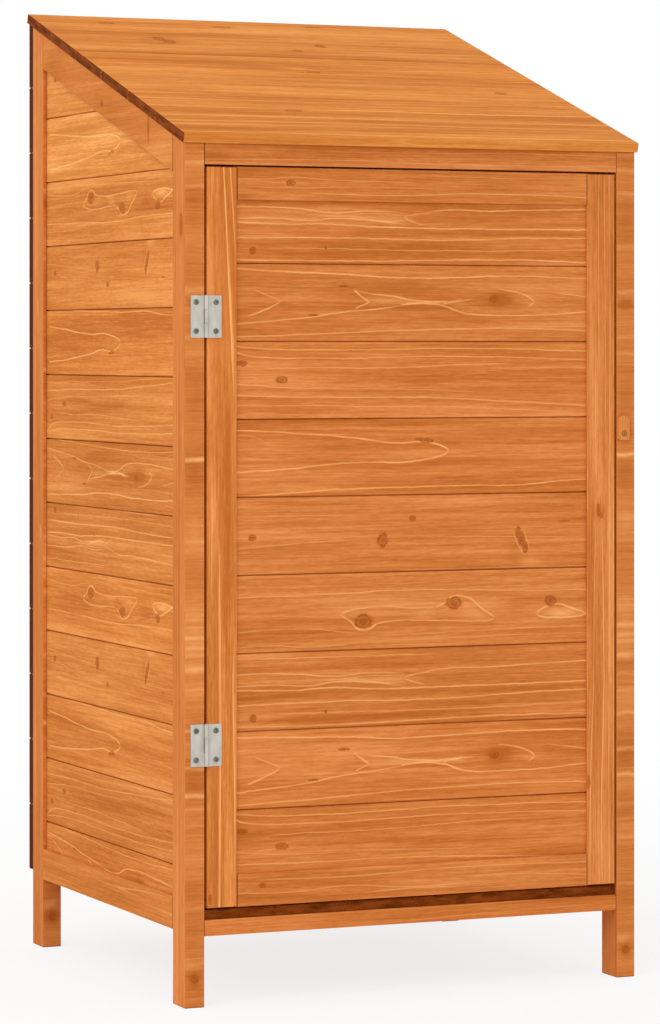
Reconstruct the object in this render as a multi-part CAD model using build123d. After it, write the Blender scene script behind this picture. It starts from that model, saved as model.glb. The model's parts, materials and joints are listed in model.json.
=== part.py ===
from build123d import *
import math
import os

# Garden tool shed: a post and rail frame with boards housed in grooves, a roof that falls to the front,
# a plank floor, a framed door on two butt hinges, and a wooden turn button that holds the door shut.
# Millimetres. +X is to the right as seen from the front, the front faces -Y, and +Z is up.
# The origin is on the ground, below the middle of the roof.

# The whole shed
ROOF_WIDTH = 555.0
ROOF_DEPTH = 526.0
TOTAL_HEIGHT = 1120.0
POST_RISE = 164.5  # of the back posts' outer faces above those of the front posts

# Roof
ROOF_THICKNESS = 11.0
ROOF_BOARD_COUNT = 6
ROOF_SIDE_OVERHANG = 2.5
ROOF_FRONT_OVERHANG = 5.5
ROOF_BACK_OVERHANG = 1.0

# Posts and rails
POST_WIDTH = 23.0
POST_DEPTH = 37.0
SIDE_RAIL_CLEARANCE = 81.5  # from the ground
SIDE_RAIL_HEIGHT = 36.0
TOP_RAIL_HEIGHT = 40.0  # square to the slope
SILL_CLEARANCE = 77.0  # from the ground
SILL_HEIGHT = 17.5
SILL_SETBACK = 1.0
HEADER_HEIGHT = 23.5  # at its front face
HEADER_LIP = 8.0  # stops the door behind its top rail
BACK_RAIL_HEIGHT = 38.0  # at its front face
BACK_RAIL_THICKNESS = 22.0
TENON_LENGTH = 12.0
TENON_THICKNESS = 10.0
TENON_SETBACK = 6.0
TENON_SHOULDER = 4.0
TENON_CLEARANCE = 0.2

# Boards and the grooves that house them
BOARD_THICKNESS = 10.0
BOARD_GAP = 1.2  # open joint on the face
EASED_EDGE = 0.8
TONGUE_LENGTH = 5.0
TONGUE_SHARE = 0.34  # of the board's thickness
TONGUE_CLEARANCE = 0.2
GROOVE_DEPTH = 8.0
GROOVE_CLEARANCE = 0.2
END_GAP = 1.0  # beyond a housed end

# Side walls
WALL_RECESS = 5.0
WALL_BOARD_COUNT = 13
WALL_SLOPED_COUNT = 3  # upper boards that meet the slope
WALL_LOWEST_FACE = 32.9  # of the lowest board, above the bottom rail
WALL_HIGHEST_FACE = 60.0  # of the highest board, at its back end

# Back wall
BACK_THICKNESS = 13.0
BACK_CLEARANCE = 89.0  # from the ground
BACK_BOARD_COUNT = 13

# Floor
FLOOR_THICKNESS = 10.5
FLOOR_BOARD_COUNT = 6
FLOOR_SIDE_GAP = 1.0
FLOOR_FRONT_SETBACK = 3.0

# Door
DOOR_THICKNESS = 20.0
DOOR_HINGE_GAP = 3.0
DOOR_LATCH_GAP = 2.5
DOOR_TOP_GAP = 2.0
DOOR_FLOOR_GAP = 2.0
DOOR_STOP_GAP = 0.5
DOOR_PANEL_RECESS = 3.5
DOOR_BOARD_COUNT = 9
DOOR_END_FACE = 69.4  # of the lowest and highest boards
STILE_WIDTH = 35.0
DOOR_RAIL_HEIGHT = 36.0

# Hinges
HINGE_HEIGHT = 46.0
HINGE_LEAF_WIDTH = 18.0
HINGE_LEAF_THICKNESS = 1.0
HINGE_CORNER_RADIUS = 1.2
HINGE_KNUCKLES = 3
KNUCKLE_GAP = 0.3
BARREL_RADIUS = 2.3
PIN_RADIUS = 1.1
PIN_CLEARANCE = 0.05
PIN_HEAD_RADIUS = 1.7
PIN_HEAD_HEIGHT = 0.6
TOP_HINGE_INSET = 163.7
BOTTOM_HINGE_INSET = 178.0
HINGE_SCREW_OFFSET = 11.6
HINGE_SCREW_SPACING = 31.5
HINGE_HOLE_CLEARANCE = 0.2

# Screws
SCREW_RADIUS = 1.5
SCREW_LENGTH = 14.0
SCREW_HEAD_RADIUS = 3.1
SCREW_HEAD_HEIGHT = 1.3
PILOT_CLEARANCE = 0.05
PILOT_EXTRA_DEPTH = 1.0

# Turn button, upright and clear of the door
BUTTON_LENGTH = 28.0
BUTTON_WIDTH = 14.5
BUTTON_THICKNESS = 5.0
BUTTON_PIVOT_INSET = 8.0  # from its lower end
BUTTON_TOP_RADIUS = 6.5
BUTTON_FOOT_RADIUS = 3.0
BUTTON_EASED_EDGE = 0.8
BUTTON_POST_GAP = 0.4
BUTTON_HEIGHT = 620.0  # of its pivot, above the ground
BUTTON_POST_INSET = 7.0  # of its pivot, from the post's inner edge
BUTTON_COUNTERBORE = 1.2
BUTTON_HEAD_CLEARANCE = 0.4
BUTTON_SCREW_LENGTH = 20.0
BUTTON_SCREW_PLAY = 0.2  # between the head and its seat

# Places worked out from the driving dimensions
LEFT = -(ROOF_WIDTH / 2 - ROOF_SIDE_OVERHANG)
INNER_LEFT = LEFT + POST_WIDTH
FRONT = -ROOF_DEPTH / 2 + ROOF_FRONT_OVERHANG
BACK = ROOF_DEPTH / 2 - ROOF_BACK_OVERHANG - BACK_THICKNESS
COS = (BACK - FRONT) / math.hypot(BACK - FRONT, POST_RISE)
SIN = POST_RISE / math.hypot(BACK - FRONT, POST_RISE)
SLOPE_LENGTH = (ROOF_DEPTH - ROOF_THICKNESS * SIN) / COS
FRONT_POST_Y = (FRONT, FRONT + POST_DEPTH)
BACK_POST_Y = (BACK - POST_DEPTH, BACK)
POST_X = (LEFT, INNER_LEFT)
INNER_X = (INNER_LEFT, -INNER_LEFT)
HOUSED = GROOVE_DEPTH - END_GAP
WALL_X = (LEFT + WALL_RECESS, LEFT + WALL_RECESS + BOARD_THICKNESS)
WALL_Y = (FRONT_POST_Y[1], BACK_POST_Y[0])
SIDE_RAIL_Z = (SIDE_RAIL_CLEARANCE, SIDE_RAIL_CLEARANCE + SIDE_RAIL_HEIGHT)
SILL_Z = (SILL_CLEARANCE, SILL_CLEARANCE + SILL_HEIGHT)
FLOOR_TOP = SILL_Z[1] + FLOOR_THICKNESS
FRONT_TENON_Y = (FRONT + TENON_SETBACK, FRONT + TENON_SETBACK + TENON_THICKNESS)
BACK_TENON_Y = (BACK - TENON_SETBACK - TENON_THICKNESS, BACK - TENON_SETBACK)


def roof_line(y, depth):
    """Height at y of a line along the slope, the given depth below the roof's upper face, square to it."""
    back_arris = ROOF_DEPTH / 2 - ROOF_THICKNESS * SIN
    return TOTAL_HEIGHT - (back_arris - y) * SIN / COS - depth / COS


HEADER_FOOT = roof_line(FRONT, ROOF_THICKNESS) - HEADER_HEIGHT
BACK_RAIL_Y = (BACK - BACK_RAIL_THICKNESS, BACK)
BACK_RAIL_FOOT = roof_line(BACK_RAIL_Y[0], ROOF_THICKNESS) - BACK_RAIL_HEIGHT
DOOR_X = (INNER_LEFT + DOOR_HINGE_GAP, -INNER_LEFT - DOOR_LATCH_GAP)
DOOR_Y = (FRONT, FRONT + DOOR_THICKNESS)
DOOR_Z = (FLOOR_TOP + DOOR_FLOOR_GAP, HEADER_FOOT - DOOR_TOP_GAP)
DOOR_BOARD_Y = (FRONT + DOOR_PANEL_RECESS, FRONT + DOOR_PANEL_RECESS + BOARD_THICKNESS)
PANEL_X = (DOOR_X[0] + STILE_WIDTH, DOOR_X[1] - STILE_WIDTH)
PANEL_Z = (DOOR_Z[0] + DOOR_RAIL_HEIGHT, DOOR_Z[1] - DOOR_RAIL_HEIGHT)
HINGE_X = INNER_LEFT + DOOR_HINGE_GAP / 2
HINGE_Y = FRONT - BARREL_RADIUS
HINGE_HEIGHTS = {
    "top": DOOR_Z[1] - TOP_HINGE_INSET,
    "bottom": DOOR_Z[0] + BOTTOM_HINGE_INSET,
}
BUTTON_X = -INNER_LEFT + BUTTON_POST_INSET
BUTTON_BACK = FRONT - BUTTON_POST_GAP
BUTTON_SEAT = BUTTON_BACK - BUTTON_THICKNESS + BUTTON_COUNTERBORE


def widened(limits, by):
    """The same pair of limits, moved apart at both ends."""
    return (limits[0] - by, limits[1] + by)


def block(x, y, z):
    """Box between a pair of limits on each axis."""
    middle = [(low + high) / 2 for low, high in (x, y, z)]
    size = [high - low for low, high in (x, y, z)]
    return Pos(*middle) * Box(*size)


def prism(points, x):
    """Outline of (y, z) points, drawn out along X between two limits."""
    outline = make_face(Polyline(*points, close=True))
    return extrude(Plane.YZ.offset(x[0]) * outline, x[1] - x[0])


def under_roof(y, foot, x):
    """Prism from a level foot up to the underside of the roof."""
    return up_to_slope(y, foot, ROOF_THICKNESS, x)


def up_to_slope(y, foot, depth, x):
    """Prism from a level foot up to a line along the slope, the given depth below the roof's upper face."""
    feet = [(end, foot) for end in y]
    tops = [(end, roof_line(end, depth)) for end in reversed(y)]
    return prism(feet + tops, x)


def sloping_bar(y, deep, shallow, x):
    """Prism between two lines along the slope, at depths below the roof's upper face."""
    lower = [(end, roof_line(end, deep)) for end in y]
    upper = [(end, roof_line(end, shallow)) for end in reversed(y)]
    return prism(lower + upper, x)


def both_sides(shape):
    """A left-hand shape and its mirror image on the right."""
    return {"left": shape, "right": mirror(shape, about=Plane.YZ)}


def board(corner, across, along, width, thickness, length, groove=True, tongue=True):
    """Tongue-and-groove board, from a corner of its lower edge: a section drawn out along the grain."""
    low = BOARD_GAP / 2 if groove else 0
    high = width - BOARD_GAP / 2 if tongue else width
    middle = thickness / 2
    tongue_height = thickness * TONGUE_SHARE
    section = Pos((low + high) / 2, middle) * Rectangle(high - low, thickness)
    section = chamfer(section.vertices(), EASED_EDGE)
    if tongue:
        reach = high + TONGUE_LENGTH
        section += Pos((low + reach) / 2, middle) * Rectangle(reach - low, tongue_height)
    if groove:
        depth = TONGUE_LENGTH - BOARD_GAP / 2 + TONGUE_CLEARANCE
        opening = tongue_height + 2 * TONGUE_CLEARANCE
        section -= Pos(depth / 2, middle) * Rectangle(depth, opening)
    return extrude(Plane(origin=corner, x_dir=across, z_dir=along) * section, length)


def screw(x, y, z, length):
    """Screw driven towards +Y, with its flat round head seated at y."""
    shank = Pos(0, 0, -length / 2) * Cylinder(SCREW_RADIUS, length)
    head = Pos(0, 0, SCREW_HEAD_HEIGHT / 2) * Cylinder(SCREW_HEAD_RADIUS, SCREW_HEAD_HEIGHT)
    return Pos(x, y, z) * Rot(90, 0, 0) * (shank + head)


def bore(x, y, z, radius):
    """Round cutter along Y between two limits."""
    return Pos(x, (y[0] + y[1]) / 2, z) * Rot(90, 0, 0) * Cylinder(radius, y[1] - y[0])


def pilot_hole(x, z, seat, length):
    """Hole in the front face of the wood for a screw whose head is seated at the given y."""
    return bore(x, (FRONT, seat + length + PILOT_EXTRA_DEPTH), z, SCREW_RADIUS + PILOT_CLEARANCE)


# Posts, with grooves for the side walls and mortises for the cross rails
def wall_groove(post_y):
    """Groove down the face of a post that looks along the side wall, from the bottom rail up."""
    inward = 1 if post_y == BACK_POST_Y else -1
    face = WALL_Y[1] if post_y == BACK_POST_Y else WALL_Y[0]
    y = sorted((face, face + inward * GROOVE_DEPTH))
    return block(widened(WALL_X, GROOVE_CLEARANCE), y, (SIDE_RAIL_Z[0], TOTAL_HEIGHT))


def tenon(y, z):
    """Tenon at the left end of a cross rail."""
    return block((INNER_LEFT - TENON_LENGTH, INNER_LEFT), y, z)


def mortise(y, z):
    """Pocket in the left post for such a tenon."""
    x = (INNER_LEFT - TENON_LENGTH - END_GAP, INNER_LEFT)
    return block(x, widened(y, TENON_CLEARANCE), widened(z, TENON_CLEARANCE))


def shouldered(z):
    """Height of a tenon within its rail."""
    return widened(z, -TENON_SHOULDER)


HEADER_TENON = (FRONT_TENON_Y, shouldered((HEADER_FOOT, HEADER_FOOT + HEADER_HEIGHT)))
SILL_TENON = (FRONT_TENON_Y, shouldered(SILL_Z))
BACK_TOP_TENON = (BACK_TENON_Y, shouldered((BACK_RAIL_FOOT, BACK_RAIL_FOOT + BACK_RAIL_HEIGHT)))
BACK_BOTTOM_TENON = (BACK_TENON_Y, shouldered(SILL_Z))


def post(y, tenons):
    """Left-hand post: cut to the slope, grooved and mortised."""
    shape = under_roof(y, 0, POST_X) - wall_groove(y)
    for tenon_y, tenon_z in tenons:
        shape -= mortise(tenon_y, tenon_z)
    return shape


front_posts = both_sides(post(FRONT_POST_Y, (HEADER_TENON, SILL_TENON)))
back_posts = both_sides(post(BACK_POST_Y, (BACK_TOP_TENON, BACK_BOTTOM_TENON)))


# Cross rails between the left and right posts
def cross_rail(shape, tenon_y, tenon_z):
    """Rail with a tenon on each end."""
    for end in both_sides(tenon(tenon_y, tenon_z)).values():
        shape += end
    return shape


header_lip = block(
    INNER_X,
    (DOOR_Y[1] + DOOR_STOP_GAP, FRONT_POST_Y[1]),
    (HEADER_FOOT - HEADER_LIP, HEADER_FOOT),
)
header_bar = under_roof(FRONT_POST_Y, HEADER_FOOT, INNER_X)
front_header = cross_rail(header_bar + header_lip, *HEADER_TENON)
front_sill = cross_rail(block(INNER_X, (FRONT + SILL_SETBACK, FRONT_POST_Y[1]), SILL_Z), *SILL_TENON)
back_top_bar = under_roof(BACK_RAIL_Y, BACK_RAIL_FOOT, INNER_X)
back_top_rail = cross_rail(back_top_bar, *BACK_TOP_TENON)
back_bottom_rail = cross_rail(block(INNER_X, BACK_POST_Y, SILL_Z), *BACK_BOTTOM_TENON)

# Side rails, tenoned into the posts' grooves and grooved for the boards
RAIL_TENON_Y = widened(WALL_Y, HOUSED)
bottom_groove = block(
    widened(WALL_X, GROOVE_CLEARANCE), RAIL_TENON_Y, (SIDE_RAIL_Z[1] - GROOVE_DEPTH, SIDE_RAIL_Z[1])
)
bottom_tenon = block(WALL_X, RAIL_TENON_Y, (SIDE_RAIL_Z[0] + END_GAP, SIDE_RAIL_Z[1]))
side_bottom_rails = both_sides(block(POST_X, WALL_Y, SIDE_RAIL_Z) + bottom_tenon - bottom_groove)

TOP_RAIL_FOOT = ROOF_THICKNESS + TOP_RAIL_HEIGHT
top_groove = sloping_bar(
    RAIL_TENON_Y, TOP_RAIL_FOOT, TOP_RAIL_FOOT - GROOVE_DEPTH, widened(WALL_X, GROOVE_CLEARANCE)
)
top_bar = sloping_bar(WALL_Y, TOP_RAIL_FOOT, ROOF_THICKNESS, POST_X)
top_tenon = sloping_bar(RAIL_TENON_Y, TOP_RAIL_FOOT, ROOF_THICKNESS, WALL_X)
side_top_rails = both_sides(top_bar + top_tenon - top_groove)


# Side walls: boards laid from the bottom rail up, the upper ones cut along the slope
def wall_boards():
    """Boards of the left wall, from the lowest up."""
    panel = up_to_slope(RAIL_TENON_Y, SIDE_RAIL_Z[1] - HOUSED, TOP_RAIL_FOOT - HOUSED, WALL_X)
    lowest_joint = SIDE_RAIL_Z[1] + WALL_LOWEST_FACE
    highest_joint = roof_line(WALL_Y[1], TOP_RAIL_FOOT) - WALL_HIGHEST_FACE
    pitch = (highest_joint - lowest_joint) / (WALL_BOARD_COUNT - 2)
    length = RAIL_TENON_Y[1] - RAIL_TENON_Y[0]
    boards = []
    for index in range(WALL_BOARD_COUNT):
        corner = (WALL_X[0], RAIL_TENON_Y[0], lowest_joint + (index - 1) * pitch)
        whole = board(corner, (0, 0, 1), (0, 1, 0), pitch, BOARD_THICKNESS, length)
        boards.append((whole & panel).solid())
    return boards


left_boards = wall_boards()
whole_boards = both_sides(Compound(children=left_boards[1:-WALL_SLOPED_COUNT]))
cut_boards = [both_sides(shape) for shape in left_boards[:1] + left_boards[-WALL_SLOPED_COUNT:]]

# Back wall: boards fixed on the outside of the back posts, the top one cut along the slope
back_y = (BACK, BACK + BACK_THICKNESS)
back_wall = under_roof(back_y, BACK_CLEARANCE, (LEFT, -LEFT))
back_pitch = (roof_line(back_y[1], ROOF_THICKNESS) - BACK_CLEARANCE) / BACK_BOARD_COUNT
back_boards = []
for index in range(BACK_BOARD_COUNT):
    corner = (LEFT, back_y[1], BACK_CLEARANCE + index * back_pitch)
    lowest = index == 0
    highest = index == BACK_BOARD_COUNT - 1
    whole = board(
        corner, (0, 0, 1), (1, 0, 0), back_pitch, BACK_THICKNESS, -2 * LEFT, not lowest, not highest
    )
    back_boards.append((whole & back_wall).solid())

# Roof boards, laid from the front edge up the slope
roof_pitch = SLOPE_LENGTH / ROOF_BOARD_COUNT
roof_front_y = -ROOF_DEPTH / 2 + ROOF_THICKNESS * SIN
roof_front_z = TOTAL_HEIGHT - SLOPE_LENGTH * SIN - ROOF_THICKNESS * COS
roof_boards = []
for index in range(ROOF_BOARD_COUNT):
    up = index * roof_pitch
    corner = (-ROOF_WIDTH / 2, roof_front_y + up * COS, roof_front_z + up * SIN)
    first = index == 0
    last = index == ROOF_BOARD_COUNT - 1
    roof_boards.append(
        board(
            corner, (0, COS, SIN), (1, 0, 0), roof_pitch, ROOF_THICKNESS, ROOF_WIDTH, not first, not last
        )
    )

# Floor boards, lying on the sill and the back bottom rail
floor_x = widened(INNER_X, -FLOOR_SIDE_GAP)
floor_y = (FRONT + SILL_SETBACK + FLOOR_FRONT_SETBACK, BACK)
floor_pitch = (floor_x[1] - floor_x[0]) / FLOOR_BOARD_COUNT
floor_boards = []
for index in range(FLOOR_BOARD_COUNT):
    corner = (floor_x[0] + index * floor_pitch, floor_y[0], FLOOR_TOP)
    first = index == 0
    last = index == FLOOR_BOARD_COUNT - 1
    floor_boards.append(
        board(
            corner,
            (1, 0, 0),
            (0, 1, 0),
            floor_pitch,
            FLOOR_THICKNESS,
            floor_y[1] - floor_y[0],
            not first,
            not last,
        )
    )

# Door frame: grooved stiles, and rails tenoned into the grooves
door_groove_y = widened(DOOR_BOARD_Y, GROOVE_CLEARANCE)
housed_x = widened(PANEL_X, HOUSED)
housed_z = widened(PANEL_Z, HOUSED)
groove_z = widened(PANEL_Z, GROOVE_DEPTH)
stile_x = {"left": (DOOR_X[0], PANEL_X[0]), "right": (PANEL_X[1], DOOR_X[1])}
stile_groove = block(widened(PANEL_X, GROOVE_DEPTH), door_groove_y, DOOR_Z)
stiles = {side: block(x, DOOR_Y, DOOR_Z) - stile_groove for side, x in stile_x.items()}
rail_z = {"top": (PANEL_Z[1], DOOR_Z[1]), "bottom": (DOOR_Z[0], PANEL_Z[0])}
rail_groove = block(housed_x, door_groove_y, groove_z)
door_rails = {}
for name, z in rail_z.items():
    bar = block(PANEL_X, DOOR_Y, z) + block(housed_x, DOOR_BOARD_Y, z)
    door_rails[name] = bar - rail_groove

# Door boards, the lowest and the highest cut to fit
door_panel = block(housed_x, DOOR_BOARD_Y, housed_z)
door_pitch = (PANEL_Z[1] - PANEL_Z[0] - 2 * DOOR_END_FACE) / (DOOR_BOARD_COUNT - 2)
door_boards = []
for index in range(DOOR_BOARD_COUNT):
    foot = PANEL_Z[0] + DOOR_END_FACE + (index - 1) * door_pitch
    corner = (housed_x[0], DOOR_BOARD_Y[1], foot)
    whole = board(corner, (0, 0, 1), (1, 0, 0), door_pitch, BOARD_THICKNESS, housed_x[1] - housed_x[0])
    door_boards.append((whole & door_panel).solid())


# Butt hinges: leaves on the front faces of the post and the door, with knuckles that interleave on a pin
def hinge_screw_places(side, height):
    """Where the two screws of one leaf go: side is -1 on the post and 1 on the door."""
    x = HINGE_X + side * HINGE_SCREW_OFFSET
    return [(x, height + up * HINGE_SCREW_SPACING / 2) for up in (-1, 1)]


def hinge_leaf(side, height):
    """Plate with every other knuckle of the hinge."""
    leaf_y = (FRONT - HINGE_LEAF_THICKNESS, FRONT)
    root = HINGE_X + side * (BARREL_RADIUS + KNUCKLE_GAP)
    plate_x = sorted((root, HINGE_X + side * HINGE_LEAF_WIDTH))
    plate = block(plate_x, leaf_y, widened((height, height), HINGE_HEIGHT / 2))
    outer = plate.edges().filter_by(Axis.Y).sort_by(Axis.X)
    leaf = fillet(outer[:2] if side < 0 else outer[2:], HINGE_CORNER_RADIUS)
    pitch = HINGE_HEIGHT / HINGE_KNUCKLES
    for index in range(0 if side < 0 else 1, HINGE_KNUCKLES, 2):
        middle = height - HINGE_HEIGHT / 2 + (index + 0.5) * pitch
        length = pitch - KNUCKLE_GAP
        leaf += Pos(HINGE_X, HINGE_Y, middle) * Cylinder(BARREL_RADIUS, length)
        leaf += block(sorted((HINGE_X, root)), leaf_y, widened((middle, middle), length / 2))
    leaf -= Pos(HINGE_X, HINGE_Y, height) * Cylinder(PIN_RADIUS + PIN_CLEARANCE, HINGE_HEIGHT)
    for x, z in hinge_screw_places(side, height):
        leaf -= bore(x, leaf_y, z, SCREW_RADIUS + HINGE_HOLE_CLEARANCE)
    return leaf


def hinge_pin(height):
    """Pin that hangs by a small head on its upper end."""
    shape = Cylinder(PIN_RADIUS, HINGE_HEIGHT)
    shape += Pos(0, 0, (HINGE_HEIGHT + PIN_HEAD_HEIGHT) / 2) * Cylinder(PIN_HEAD_RADIUS, PIN_HEAD_HEIGHT)
    return Pos(HINGE_X, HINGE_Y, height) * shape


hinges = {}
hinge_screws = {-1: [], 1: []}
hinge_seat = FRONT - HINGE_LEAF_THICKNESS
for name, height in HINGE_HEIGHTS.items():
    hinges[f"{name}_hinge_post_leaf"] = hinge_leaf(-1, height)
    hinges[f"{name}_hinge_door_leaf"] = hinge_leaf(1, height)
    hinges[f"{name}_hinge_pin"] = hinge_pin(height)
    for side, screws in hinge_screws.items():
        for x, z in hinge_screw_places(side, height):
            screws.append(screw(x, hinge_seat, z, SCREW_LENGTH))
            hole = pilot_hole(x, z, hinge_seat, SCREW_LENGTH)
            if side < 0:
                front_posts["left"] -= hole
            else:
                stiles["left"] -= hole

# Turn button, on a screw in the right post
button_middle = BUTTON_LENGTH / 2 - BUTTON_PIVOT_INSET
button_face = Pos(0, button_middle) * Rectangle(BUTTON_WIDTH, BUTTON_LENGTH)
button_corners = button_face.vertices().sort_by(Axis.Y)
button_face = fillet(button_corners[2:], BUTTON_TOP_RADIUS)
button_face = fillet(button_face.vertices().sort_by(Axis.Y)[:2], BUTTON_FOOT_RADIUS)
button_plane = Plane(origin=(BUTTON_X, BUTTON_BACK, BUTTON_HEIGHT), x_dir=(1, 0, 0), z_dir=(0, -1, 0))
button = extrude(button_plane * button_face, BUTTON_THICKNESS)
button = chamfer(button.faces().sort_by(Axis.Y)[0].edges(), BUTTON_EASED_EDGE)
button_front = BUTTON_BACK - BUTTON_THICKNESS
button -= bore(BUTTON_X, (button_front, BUTTON_BACK), BUTTON_HEIGHT, SCREW_RADIUS + PILOT_CLEARANCE)
button -= bore(
    BUTTON_X, (button_front, BUTTON_SEAT), BUTTON_HEIGHT, SCREW_HEAD_RADIUS + BUTTON_HEAD_CLEARANCE
)
button_screw_seat = BUTTON_SEAT - BUTTON_SCREW_PLAY
button_screw = screw(BUTTON_X, button_screw_seat, BUTTON_HEIGHT, BUTTON_SCREW_LENGTH)
front_posts["right"] -= pilot_hole(BUTTON_X, BUTTON_HEIGHT, button_screw_seat, BUTTON_SCREW_LENGTH)

# One file for each sub-part
nodes = {
    "front_header": front_header,
    "front_sill": front_sill,
    "back_top_rail": back_top_rail,
    "back_bottom_rail": back_bottom_rail,
    "back_wall_boards": Compound(children=back_boards),
    "door_left_stile": stiles["left"],
    "door_right_stile": stiles["right"],
    "door_top_rail": door_rails["top"],
    "door_bottom_rail": door_rails["bottom"],
    "hinge_post_screws": Compound(children=hinge_screws[-1]),
    "hinge_door_screws": Compound(children=hinge_screws[1]),
    "turn_button": button,
    "turn_button_screw": button_screw,
}
nodes.update(hinges)
for side in ("left", "right"):
    nodes[f"front_{side}_post"] = front_posts[side]
    nodes[f"back_{side}_post"] = back_posts[side]
    nodes[f"{side}_bottom_rail"] = side_bottom_rails[side]
    nodes[f"{side}_top_rail"] = side_top_rails[side]
    nodes[f"{side}_wall_boards"] = whole_boards[side]
    for index, pair in enumerate(cut_boards, 1):
        nodes[f"{side}_wall_cut_board_{index}"] = pair[side]
for kind, shapes in (("roof", roof_boards), ("floor", floor_boards), ("door", door_boards)):
    for index, shape in enumerate(shapes, 1):
        nodes[f"{kind}_board_{index}"] = shape
os.makedirs("parts", exist_ok=True)
for name, shape in nodes.items():
    export_step(shape, f"parts/{name}.step")
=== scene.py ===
import json
import math
import random
from typing import NamedTuple

import bmesh
import bpy
from mathutils import Matrix, Vector


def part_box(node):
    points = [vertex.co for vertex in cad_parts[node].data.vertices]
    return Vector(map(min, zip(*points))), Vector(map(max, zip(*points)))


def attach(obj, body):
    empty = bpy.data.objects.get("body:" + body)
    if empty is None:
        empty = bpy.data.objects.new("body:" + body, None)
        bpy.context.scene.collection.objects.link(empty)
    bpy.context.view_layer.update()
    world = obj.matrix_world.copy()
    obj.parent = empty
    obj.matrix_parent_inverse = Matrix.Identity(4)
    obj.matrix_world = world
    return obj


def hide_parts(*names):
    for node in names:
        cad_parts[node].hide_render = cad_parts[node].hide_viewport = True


# Looks of a garden tool shed: stained softwood with drawn growth lines and knots, galvanised hinges,
# cross-head screws, a pale floor and soft light. Metres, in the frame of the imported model.

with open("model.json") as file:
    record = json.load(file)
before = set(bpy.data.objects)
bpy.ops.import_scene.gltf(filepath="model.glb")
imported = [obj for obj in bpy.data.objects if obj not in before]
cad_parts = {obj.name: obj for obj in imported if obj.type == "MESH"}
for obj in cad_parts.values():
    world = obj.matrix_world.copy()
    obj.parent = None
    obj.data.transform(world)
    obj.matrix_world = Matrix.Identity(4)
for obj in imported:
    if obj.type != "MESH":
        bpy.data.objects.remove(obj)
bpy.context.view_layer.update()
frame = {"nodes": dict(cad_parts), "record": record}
scene = bpy.context.scene
scene.view_settings.view_transform = "Standard"

X = Vector((1, 0, 0))
Y = Vector((0, 1, 0))
Z = Vector((0, 0, 1))
MM = 0.001


def linear(value):
    """One sRGB level from 0 to 255, as linear light."""
    share = value / 255
    return share / 12.92 if share <= 0.04045 else ((share + 0.055) / 1.055) ** 2.4


def paint(red, green, blue):
    """An sRGB colour as the linear colour that a shader takes."""
    return (linear(red), linear(green), linear(blue), 1.0)


# Colours of the stain and the metal
STAIN_DEEP = paint(190, 103, 41)
STAIN_MIDDLE = paint(214, 126, 61)
STAIN_PALE = paint(236, 151, 84)
STAIN_LINE = paint(255, 179, 110)
KNOT_HEART = paint(146, 68, 18)
KNOT_RIM = paint(192, 101, 39)
END_DARK = paint(86, 32, 2)
END_PALE = paint(146, 71, 18)
ZINC_DARK = paint(190, 184, 174)
ZINC_PALE = paint(210, 204, 196)
STEEL_DARK = paint(78, 84, 74)
STEEL_PALE = paint(142, 144, 132)
BRONZE_DARK = paint(138, 96, 46)
BRONZE_PALE = paint(204, 150, 80)
FLOOR_COLOUR = paint(250, 250, 250)
WHITE = (1.0, 1.0, 1.0, 1.0)

# Lighter, yellower or darker stain on some timbers, as factors on the colours above; the header's factor is
# painted shade under the roof, and the roof's is partly painted light
FRONT_TINT = (1.0, 1.0, 1.0)
# Painted shade: the whole header darker, as under the roof's overhang
HEADER_SHADE_TINT = (0.94, 0.93, 0.97)
POST_TINT = (0.97, 0.99, 1.0)
STILE_TINTS = {"left": (1.03, 1.05, 1.03), "right": (1.03, 1.07, 1.14)}
WALL_TINT = (1.01, 1.07, 0.98)
TOP_BOARD_TINTS = {11: (1.28, 1.64, 1.85), 12: (1.13, 1.32, 1.36)}  # by their place from the lowest up
SLOPING_RAIL_TINT = (0.92, 0.93, 0.85)
# Yellower stain, and painted light: the roof made brighter than the walls and front, as lit from above
ROOF_STAIN_AND_LIGHT = (1.08, 1.17, 0.95)
TINT_SPREAD = 0.035  # from board to board

# Sockets of the mixing node when it mixes colours
MIX_SOCKETS = (0, 6, 7)
MIX_RESULT = 2


class Noise(NamedTuple):
    """How often a noise changes along each axis, its detail and its roughness."""

    scale: tuple
    detail: float = 2.0
    roughness: float = 0.5


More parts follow.
